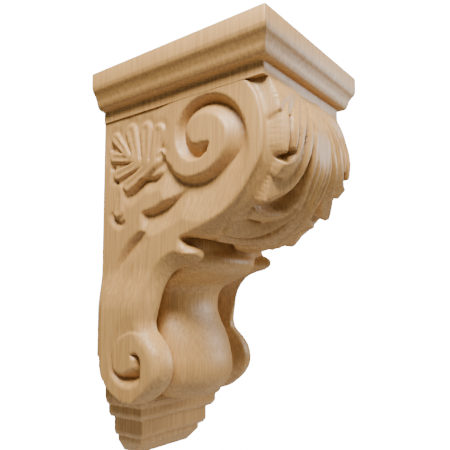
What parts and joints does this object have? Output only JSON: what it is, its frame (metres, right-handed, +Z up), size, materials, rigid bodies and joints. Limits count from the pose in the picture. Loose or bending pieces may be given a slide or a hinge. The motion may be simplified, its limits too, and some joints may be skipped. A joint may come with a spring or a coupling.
{
  "type": "acanthus corbel",
  "caption": "Carved wooden corbel with a moulded cap, a large side scroll behind an acanthus leaf, a curved neck over a small scroll, and a stepped foot.",
  "frame": {"origin": "centre of the flat back, half-way up and on the middle plane, where the corbel meets the wall", "axes": "+X across the width, +Y into the wall, -Y out to the front, +Z up to the cap"},
  "size_m": [0.163, 0.1991, 0.356],
  "materials": {
    "carved_wood": "unfinished fine-grained hardwood, sanded, with darker recesses"
  },
  "bodies": {
    "root": {"corbel": "carved_wood"}
  },
  "joints": []
}
